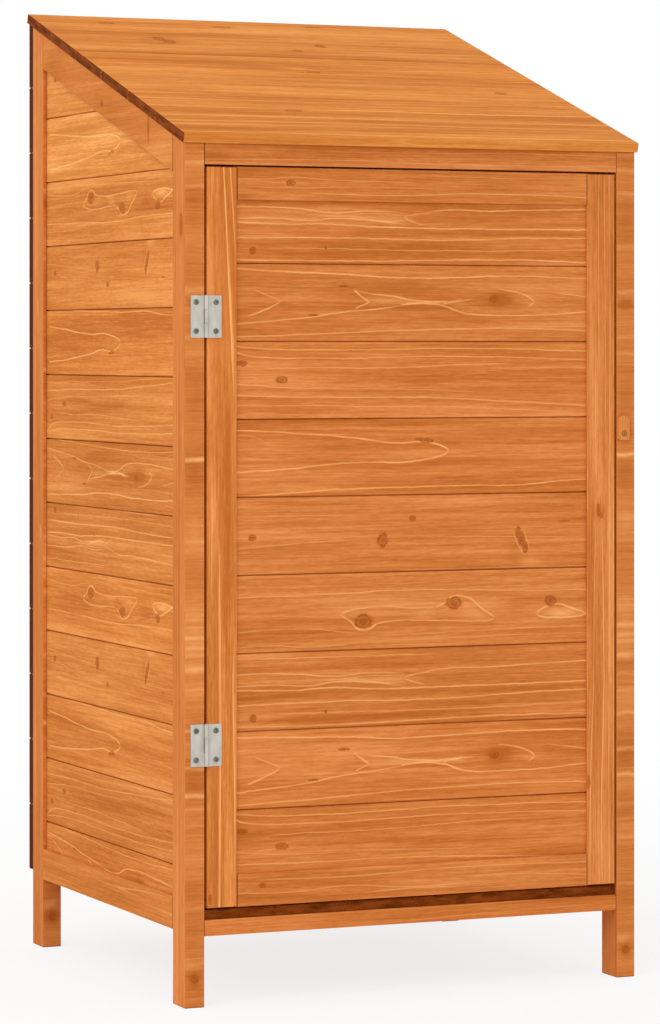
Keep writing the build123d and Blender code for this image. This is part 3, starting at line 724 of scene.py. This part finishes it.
def figured_wood(name, width, contrast=BOARD_CONTRAST):
    """Board of the given width with the growth figure of that name."""
    material, graph = new_material(f"{name}_figure")
    figure = FIGURES[name]
    grain = graph.attribute("grain")["Vector"]
    u, v, _ = graph.split(graph.attribute("figure")["Vector"])
    place = graph.joined(u, v, graph.split(grain)[2])
    wander = wandering(graph, place)
    tone = patched(graph, streaks(graph, grain, contrast), u, v, figure)
    knots = knot_marks(graph, u, v, figure, wander)
    bent = v
    for noise, height in LINE_BENDS:
        bent = graph.math("ADD", bent, graph.wave(place, noise, height))
    bright, shade = line_marks(graph, u, bent, figure.strokes, width)
    bright = glowing(graph, bright, u, v, figure, wander)
    fading = graph.ramp(graph.noise(place, LINE_FADING), FADING_STOPS)
    stained(graph, tone, graph.math("MULTIPLY", bright, fading), shade, knots, grain)
    return material


def straight_wood(name):
    """Straight-grained timber."""
    material, graph = new_material(name)
    grain = graph.attribute("grain")["Vector"]
    rings = graph.math("MULTIPLY", graph.noise(grain, STRAIGHT_RINGS), RINGS_IN_THE_NOISE)
    lines = graph.ramp(graph.math("FRACT", rings), STRAIGHT_STOPS)
    fading = graph.ramp(graph.noise(grain, STRAIGHT_FADING), STRAIGHT_FADING_STOPS)
    tone = streaks(graph, grain, STRAIGHT_CONTRAST)
    stained(graph, tone, graph.math("MULTIPLY", lines, fading), None, None, grain)
    return material


def band_stops(bands, half_width):
    """Ramp stops that peak at each band."""
    stops = [(0.0, 0.0)]
    for height, strength in bands:
        place = height / GRID
        stops += [(place - half_width, 0.0), (place, strength), (place + BAND_TAIL * half_width, 0.0)]
    return sorted(stops)


def banded_wood(name, bands, length):
    """Post front of the given length, with its growth lines running across it."""
    material, graph = new_material(name)
    figure = FIGURES[name]
    along, across, seed = graph.split(graph.attribute("grain")["Vector"])
    grain = graph.joined(across, along, seed)
    u, v, _ = graph.split(graph.attribute("figure")["Vector"])
    wander = wandering(graph, graph.joined(u, v, seed))
    tone = patched(graph, streaks(graph, grain, BAND_CONTRAST), u, v, figure)
    knots = knot_marks(graph, u, v, figure, wander)
    bent = graph.math("ADD", u, graph.wave(grain, BAND_BEND, BAND_BEND_HEIGHT / length))
    bright = 0.0
    for first in range(0, len(bands), BANDS_IN_A_RAMP):
        stops = band_stops(bands[first:first + BANDS_IN_A_RAMP], BAND_HALF_WIDTH / length)
        bright = graph.math("ADD", graph.ramp(bent, stops), bright)
    bright = glowing(graph, bright, u, v, figure, wander)
    fading = graph.ramp(graph.noise(grain, BAND_FADING), FADING_STOPS)
    stained(graph, tone, graph.math("MULTIPLY", bright, fading), None, knots, grain)
    return material


# Plated metal
UPRIGHT = 0.3  # how slowly its patches change upwards
PATCH_DETAIL = 3.0
PATCH_ROUGHNESS = 0.6
PATCH_LEVELS = (0.3, 0.65)
METAL_ROUGHNESS = ((0.3, 0.52), (0.7, 0.4))
METAL_MARKS = Noise((3000.0, 3000.0, 120.0))
METAL_BUMP = 0.1
METAL_BUMP_DEPTH = 0.05 * MM


def metal(name, dark, pale, patch_width, metallic):
    """Dull plated metal, darker in upright patches of about the given width."""
    material, graph = new_material(name)
    place = graph.node("ShaderNodeTexCoord", {}).outputs["Object"]
    scale = (1 / patch_width, 1 / patch_width, UPRIGHT / patch_width)
    patches = graph.noise(place, Noise(scale, PATCH_DETAIL, PATCH_ROUGHNESS))
    colour = graph.ramp(patches, tuple(zip(PATCH_LEVELS, (dark, pale))))
    roughness = graph.ramp(patches, METAL_ROUGHNESS)
    marks = graph.noise(place, METAL_MARKS)
    surface(graph, colour, roughness, marks, METAL_BUMP, METAL_BUMP_DEPTH, Metallic=metallic)
    return material


# Which body each node rides on, and how its mesh is read and eased
BODY_OF = {node: body for body, nodes in frame["record"]["behaviour"]["bodies"].items() for node in nodes}
WELD = 0.002 * MM
FLAT = math.radians(1)
SHARP = math.radians(60)
SMOOTH = math.radians(40)
SHORTEST_ARRIS = 12 * MM
EASING_SEGMENTS = 2
ROUND = 0.5  # profile of an arc
EASING = 0.6 * MM
FRAME_EASING = 0.9 * MM
BOARD_EASING = 0.3 * MM
LAID_BOARD_EASING = 0.4 * MM
ROOF_EASING = 0.15 * MM
FACING = 0.6  # how squarely a broad face looks outward
END_FACING = 0.3  # and an end along the grain
SEED_REACH = 40  # of the places where a board's grain starts


def rebuilt(node):
    """A node's mesh as welded flat faces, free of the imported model's own normals."""
    source = frame["nodes"][node].data
    mesh = bmesh.new()
    points = [mesh.verts.new(vertex.co) for vertex in source.vertices]
    for polygon in source.polygons:
        mesh.faces.new([points[index] for index in polygon.vertices])
    bmesh.ops.remove_doubles(mesh, verts=mesh.verts, dist=WELD)
    bmesh.ops.dissolve_limit(mesh, angle_limit=FLAT, verts=mesh.verts, edges=mesh.edges)
    return mesh


def eased(mesh, width):
    """Rounds the long outer arrises."""
    outer = [edge for edge in mesh.edges if edge.is_manifold and edge.is_convex]
    arrises = [e for e in outer if e.calc_face_angle() > SHARP and e.calc_length() > SHORTEST_ARRIS]
    rounding = {"segments": EASING_SEGMENTS, "profile": ROUND, "affect": "EDGES", "clamp_overlap": True}
    bmesh.ops.bevel(mesh, geom=arrises, offset=width, **rounding)


def islands(mesh):
    """Groups of faces that hang together, in the order of the mesh."""
    left = set(mesh.faces)
    groups = []
    for first in mesh.faces:
        if first not in left:
            continue
        left.remove(first)
        group = [first]
        for face in group:
            neighbours = {other for edge in face.edges for other in edge.link_faces} & left
            left -= neighbours
            group += neighbours
        groups.append(group)
    return groups


def span(group, direction):
    """Lowest and highest place of a group of faces along a direction."""
    places = [vertex.co.dot(direction) for face in group for vertex in face.verts]
    return min(places), max(places)


def extent(node):
    """Size of a node's box."""
    low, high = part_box(node)
    return high - low


def board_width(node):
    """Height of the tallest upright board of a node."""
    mesh = rebuilt(node)
    limits = [span(group, Z) for group in islands(mesh)]
    mesh.free()
    return max(high - low for low, high in limits)


def finished(mesh, node, materials):
    """Object of a dressed mesh that stands for its node."""
    data = bpy.data.meshes.new(f"{node}_dressed")
    for face in mesh.faces:
        face.smooth = True
    mesh.to_mesh(data)
    mesh.free()
    data.set_sharp_from_angle(angle=SMOOTH)
    piece = bpy.data.objects.new(f"{node}_dressed", data)
    scene.collection.objects.link(piece)
    for material in materials:
        data.materials.append(material)
    normals = piece.modifiers.new("normals", "WEIGHTED_NORMAL")
    normals.keep_sharp = True
    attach(piece, BODY_OF[node])
    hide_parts(node)


def timber(
    node, slot, along, across, faces, edges=None, easing=EASING, ends=None, width=None, hang=False,
    flip=False, tint=FRONT_TINT, strength=1.0, end_grain=SAWN_END,
):
    """Dressed copy of a wooden node: eased arrises, with the way of the grain written on each board.

    Faces holds the material of the broad faces, one for all boards of the node or one for each, from the
    lowest up, and edges that of the narrow ones, if it isn't the straight grain. A figure is drawn between
    the given ends along the grain, and over the given width from the lower edge, or from the upper one if it
    hangs; otherwise it fits the board. Flip turns it upside down. Strength is that of its growth lines and
    knots, and end_grain is the look of the ends.
    """
    mesh = rebuilt(node)
    if easing:
        eased(mesh, easing)
    grain = mesh.loops.layers.float_vector.new("grain")
    figure = mesh.loops.layers.float_vector.new("figure")
    cast = mesh.loops.layers.float_color.new("tint")
    outward = along.cross(across)
    draws = random.Random(node)
    boards = sorted(islands(mesh), key=lambda group: sum(span(group, across)))
    for index, group in enumerate(boards):
        seed = draws.uniform(0, SEED_REACH)
        shift = draws.uniform(1 - TINT_SPREAD, 1 + TINT_SPREAD)
        board_cast = (*(part * shift for part in tint), strength)
        start, stop = ends or span(group, along)
        low, high = span(group, across)
        front, back = span(group, outward)
        scale = width or high - low
        base = high - scale if hang else low
        for face in group:
            end = abs(face.normal.dot(along)) > END_FACING
            broad = abs(face.normal.dot(outward)) > FACING
            face.material_index = index % len(faces) if broad else len(faces)
            for loop in face.loops:
                place = loop.vert.co
                u, v, w = (place.dot(direction) for direction in (along, across, outward))
                share = (v - base) / scale if broad else (w - front) / (back - front)
                share = 1 - share if flip else share
                loop[grain] = (v + seed, w, seed) if end else (u + seed, v + w, seed)
                loop[figure] = ((u - start) / (stop - start), share, end * end_grain)
                loop[cast] = board_cast
    finished(mesh, node, (*faces, edges or STRAIGHT))


# Finishes
SHEET_PATCH = 7 * MM
SHEET_METALLIC = 0.75
SCREW_PATCH = 1.5 * MM
SCREW_METALLIC = 0.6
BOARD_WIDTH = board_width("door_board_4")
FIGURED = {letter: figured_wood(letter, BOARD_WIDTH) for letter in "ABCDEF"}
BANDED = banded_wood("post_front", POST_BANDS, extent("front_left_post").z)
POST_SIDE = figured_wood("post_side", extent("front_left_post").y, POST_SIDE_CONTRAST)
SLOPING_RAIL = figured_wood("sloping_rail", extent("left_top_rail").z, SLOPING_RAIL_CONTRAST)
HEADER = figured_wood("front_header", extent("front_header").z)
STRAIGHT = straight_wood("straight_grain")
ZINC = metal("galvanised_sheet", ZINC_DARK, ZINC_PALE, SHEET_PATCH, SHEET_METALLIC)
STEEL = metal("screw_steel", STEEL_DARK, STEEL_PALE, SCREW_PATCH, SCREW_METALLIC)
BRONZE = metal("screw_bronze", BRONZE_DARK, BRONZE_PALE, SCREW_PATCH, SCREW_METALLIC)

# Posts and rails
for place in ("front", "back"):
    for side in ("left", "right"):
        settings = {"easing": FRAME_EASING, "tint": POST_TINT}
        settings["edges"] = POST_SIDE if place == "front" else None
        timber(f"{place}_{side}_post", "frame_wood", Z, X, (BANDED,), **settings)
timber("front_header", "frame_wood", X, Z, (HEADER,), tint=HEADER_SHADE_TINT)
for node in ("front_sill", "back_top_rail", "back_bottom_rail"):
    timber(node, "frame_wood", X, Z, (STRAIGHT,))
for side in ("left", "right"):
    timber(f"{side}_bottom_rail", "frame_wood", Y, Z, (STRAIGHT,), tint=WALL_TINT)
    settings = {"easing": BOARD_EASING, "tint": SLOPING_RAIL_TINT}
    timber(f"{side}_top_rail", "frame_wood", Y, Z, (SLOPING_RAIL,), **settings)

# Walls: the figures repeat from the lowest board up, at the sides upside down and ending short of the posts
WALL_LETTERS = "BCDEFABCDEFDE"
BACK_LETTERS = "CEADBFCEADBFC"
WHOLE_BOARDS = slice(1, 10)
CUT_BOARDS = (0, 10, 11, 12)
SHORT_OF_FRONT = 16 * MM
SHORT_OF_BACK = 11 * MM
WALL_STRENGTH = 0.9
TOP_BOARD_STRENGTH = 0.5
wall_board = board_width("left_wall_boards")
wall_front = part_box("front_left_post")[1].y + SHORT_OF_FRONT
wall_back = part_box("back_left_post")[0].y - SHORT_OF_BACK
wall_wood = [FIGURED[letter] for letter in WALL_LETTERS]
for side, along, ends in (("left", -Y, (-wall_back, -wall_front)), ("right", Y, (wall_front, wall_back))):
    settings = {"easing": BOARD_EASING, "ends": ends, "width": wall_board, "flip": True}
    settings.update(tint=WALL_TINT, strength=WALL_STRENGTH)
    timber(f"{side}_wall_boards", "wall_wood", along, Z, wall_wood[WHOLE_BOARDS], **settings)
    for number, index in enumerate(CUT_BOARDS, 1):
        settings["hang"] = index == 0
        settings["tint"] = TOP_BOARD_TINTS.get(index, WALL_TINT)
        settings["strength"] = TOP_BOARD_STRENGTH if index in TOP_BOARD_TINTS else WALL_STRENGTH
        timber(f"{side}_wall_cut_board_{number}", "wall_wood", along, Z, (wall_wood[index],), **settings)
back_wood = [FIGURED[letter] for letter in BACK_LETTERS]
# The back boards' ends are darkened: painted shade
settings = {"easing": LAID_BOARD_EASING, "tint": WALL_TINT, "end_grain": SHADED_END}
timber("back_wall_boards", "wall_wood", X, Z, back_wood, **settings)

# Roof, with broader growth lines, and floor
ROOF_BOARDS = 6
ROOF_LINE_BREADTH = 2.2
ROOF_STRENGTH = 0.7
FLOOR_LETTERS = "CADBCA"
line_width = extent("roof_board_1").y / ROOF_LINE_BREADTH
slope_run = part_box("roof_board_5")[1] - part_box("roof_board_2")[1]
slope = Vector((0, slope_run.y, slope_run.z)).normalized()
for number in range(1, ROOF_BOARDS + 1):
    roof_wood = figured_wood(f"roof_{number}", line_width, ROOF_CONTRAST)
    settings = {"easing": ROOF_EASING, "tint": ROOF_STAIN_AND_LIGHT, "strength": ROOF_STRENGTH}
    timber(f"roof_board_{number}", "roof_wood", X, slope, (roof_wood,), **settings)
for number, letter in enumerate(FLOOR_LETTERS, 1):
    timber(f"floor_board_{number}", "floor_wood", Y, X, (FIGURED[letter],), easing=LAID_BOARD_EASING)

# Door
DOOR_LETTERS = "CBAFEDCBA"  # from the lowest board up
door_ends = (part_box("door_left_stile")[1].x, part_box("door_right_stile")[0].x)
for side in ("left", "right"):
    stile = figured_wood(f"{side}_stile", extent("door_left_stile").x)
    settings = {"easing": FRAME_EASING, "tint": STILE_TINTS[side]}
    timber(f"door_{side}_stile", "door_frame_wood", Z, X, (stile,), **settings)
for end in ("top", "bottom"):
    rail = figured_wood(f"door_{end}_rail", extent("door_top_rail").z)
    timber(f"door_{end}_rail", "door_frame_wood", X, Z, (rail,), easing=FRAME_EASING, ends=door_ends)
for number, letter in enumerate(DOOR_LETTERS, 1):
    settings = {"easing": BOARD_EASING, "ends": door_ends, "width": BOARD_WIDTH, "hang": number == 1}
    timber(f"door_board_{number}", "door_board_wood", X, Z, (FIGURED[letter],), **settings)

# Hinges and turn button
for node, piece in frame["nodes"].items():
    if "hinge" in node and "screws" not in node:
        piece.data.materials.clear()
        piece.data.materials.append(ZINC)
timber("turn_button", "button_wood", Z, X, (STRAIGHT,), easing=None, end_grain=PLAIN_END)

# Screws with a rounded head and a cross recess, as shares of the head's radius and thickness
HEAD_SIDES = 32
CROWN = 0.8
CROWN_DEPTH = 0.5
ARM_LENGTH = 0.56
ARM_HALF_WIDTH = 0.15
RECESS_DEPTH = 0.75
RECESS_TAPER = 0.8


def ring(mesh, middle, radius, y):
    """Circle of points round a screw's axis."""
    points = []
    for step in range(HEAD_SIDES):
        turn = 2 * math.pi * step / HEAD_SIDES
        place = (middle.x + radius * math.cos(turn), y, middle.z + radius * math.sin(turn))
        points.append(mesh.verts.new(place))
    return points


def cross(mesh, middle, radius, turn, y):
    """Outline of a cross recess, twelve points."""
    long = radius * ARM_LENGTH
    wide = radius * ARM_HALF_WIDTH
    points = []
    for quarter in range(4):
        turned = Matrix.Rotation(turn + quarter * math.pi / 2, 2)
        for arm in ((long, -wide), (long, wide), (wide, wide)):
            across = turned @ Vector(arm)
            points.append(mesh.verts.new((middle.x + across.x, y, middle.z + across.y)))
    return points


def loop_edges(mesh, points):
    """Edges that close a ring of points."""
    pairs = zip(points, points[1:] + points[:1])
    return [mesh.edges.get(pair) or mesh.edges.new(pair) for pair in pairs]


def walls(mesh, first, second):
    """Faces between two rings of points."""
    for index in range(len(first)):
        after = (index + 1) % len(first)
        mesh.faces.new((first[index], first[after], second[after], second[index]))


def screws(node, material):
    """Dressed copies of a node's screws, whose heads are to the front."""
    source = rebuilt(node)
    mesh = bmesh.new()
    draws = random.Random(node)
    for group in islands(source):
        points = {vertex for face in group for vertex in face.verts}
        limits = [span(group, direction) for direction in (X, Y, Z)]
        middle = Vector([sum(pair) / 2 for pair in limits])
        front, tip = limits[1]
        reach = {point: math.hypot(point.co.x - middle.x, point.co.z - middle.z) for point in points}
        radius = max(reach.values())
        back = max(point.co.y for point in points if reach[point] > radius - WELD)
        shank = max(reach[point] for point in points if point.co.y > tip - WELD)
        thickness = back - front
        rings = [
            ring(mesh, middle, around, y)
            for around, y in (
                (shank, tip), (shank, back), (radius, back), (radius, front + CROWN_DEPTH * thickness),
                (radius * CROWN, front),
            )
        ]
        mesh.faces.new(rings[0])
        for first, second in zip(rings, rings[1:]):
            walls(mesh, first, second)
        turn = draws.uniform(0, math.pi / 2)
        mouth = cross(mesh, middle, radius, turn, front)
        bottom = cross(mesh, middle, radius * RECESS_TAPER, turn, front + RECESS_DEPTH * thickness)
        rims = loop_edges(mesh, rings[-1]) + loop_edges(mesh, mouth)
        bmesh.ops.triangle_fill(mesh, use_beauty=True, edges=rims)
        walls(mesh, mouth, bottom)
        mesh.faces.new(bottom)
    source.free()
    bmesh.ops.recalc_face_normals(mesh, faces=mesh.faces)
    finished(mesh, node, (material,))


screws("hinge_post_screws", STEEL)
screws("hinge_door_screws", STEEL)
screws("turn_button_screw", BRONZE)

# Floor and light
FLOOR_REACH = 60.0
FLOOR_WHITE = (0.8, 1.0)  # share of plain white seen on the floor, near the shed and far from it
FLOOR_NEAR_AND_FAR = (0.6, 2.2)
WORLD_LIGHT = 0.82
KEY_POWER = 180.0
KEY_SIZE = 4.8
KEY_PLACE = Vector((-5.4, -3.8, 5.1))
KEY_AIM = Vector((0, 0, 0.5))


def seen_directly(graph):
    """1 for what the camera, a reflection or a clear surface looks at, otherwise 0."""
    path = graph.node("ShaderNodeLightPath", {}).outputs
    seen = graph.math("MAXIMUM", path["Is Camera Ray"], path["Is Glossy Ray"])
    return graph.math("MAXIMUM", seen, path["Is Transmission Ray"])


def make_world():
    """Even white surroundings that light softly and show as white."""
    world = bpy.data.worlds.new("studio")
    world.use_nodes = True
    scene.world = world
    graph = Graph(world.node_tree)
    lit = graph.node("ShaderNodeBackground", {"Color": WHITE, "Strength": WORLD_LIGHT}).outputs[0]
    shown = graph.node("ShaderNodeBackground", {"Color": WHITE, "Strength": 1.0}).outputs[0]
    both = graph.node("ShaderNodeMixShader", {0: seen_directly(graph), 1: lit, 2: shown}).outputs[0]
    graph.node("ShaderNodeOutputWorld", {0: both})


def make_floor():
    """Pale floor that takes the shed's shadow and turns white away from it."""
    data = bpy.data.meshes.new("floor")
    corners = [(x * FLOOR_REACH, y * FLOOR_REACH, 0.0) for x, y in ((-1, -1), (1, -1), (1, 1), (-1, 1))]
    data.from_pydata(corners, [], [(0, 1, 2, 3)])
    floor = bpy.data.objects.new("floor", data)
    scene.collection.objects.link(floor)
    material, graph = new_material("floor")
    matt = graph.node("ShaderNodeBsdfDiffuse", {"Color": FLOOR_COLOUR}).outputs[0]
    shown = graph.node("ShaderNodeEmission", {"Color": WHITE, "Strength": 1.0}).outputs[0]
    place = graph.node("ShaderNodeTexCoord", {}).outputs["Object"]
    limits = {
        "Value": graph.measure("LENGTH", place),
        "From Min": FLOOR_NEAR_AND_FAR[0],
        "From Max": FLOOR_NEAR_AND_FAR[1],
        "To Min": FLOOR_WHITE[0],
        "To Max": FLOOR_WHITE[1],
    }
    share = graph.math("MULTIPLY", seen_directly(graph), graph.node("ShaderNodeMapRange", limits).outputs[0])
    both = graph.node("ShaderNodeMixShader", {0: share, 1: matt, 2: shown}).outputs[0]
    graph.node("ShaderNodeOutputMaterial", {0: both})
    data.materials.append(material)


def make_light():
    """Square soft light from the front left."""
    lamp = bpy.data.lights.new("key", "AREA")
    lamp.size = KEY_SIZE
    lamp.energy = KEY_POWER
    light = bpy.data.objects.new("key", lamp)
    light.location = KEY_PLACE
    light.rotation_euler = (KEY_AIM - KEY_PLACE).to_track_quat("-Z", "Y").to_euler()
    scene.collection.objects.link(light)


# The photograph's frame and camera, in its pixels and in metres
PHOTO_HEIGHT = 1024
FOCAL_PIXELS = 3884.4
HORIZON_PIXEL = 347.0
CAMERA_PLACE = Vector((-1.7984, -4.1905, 0.7182))
CAMERA_TURN = math.radians(23.314)
SENSOR = 36.0
FARTHEST_SEEN = 200.0


def make_camera():
    """Level camera, shifted down to take in the whole shed as the photograph does."""
    data = bpy.data.cameras.new("camera")
    data.sensor_width = SENSOR
    data.lens = FOCAL_PIXELS / PHOTO_HEIGHT * SENSOR
    data.shift_y = (HORIZON_PIXEL - PHOTO_HEIGHT / 2) / PHOTO_HEIGHT
    data.clip_end = FARTHEST_SEEN
    camera = bpy.data.objects.new("camera", data)
    camera.location = CAMERA_PLACE
    camera.rotation_euler = (math.pi / 2, 0, -CAMERA_TURN)
    scene.collection.objects.link(camera)
    scene.camera = camera


make_world()
make_floor()
make_light()
make_camera()
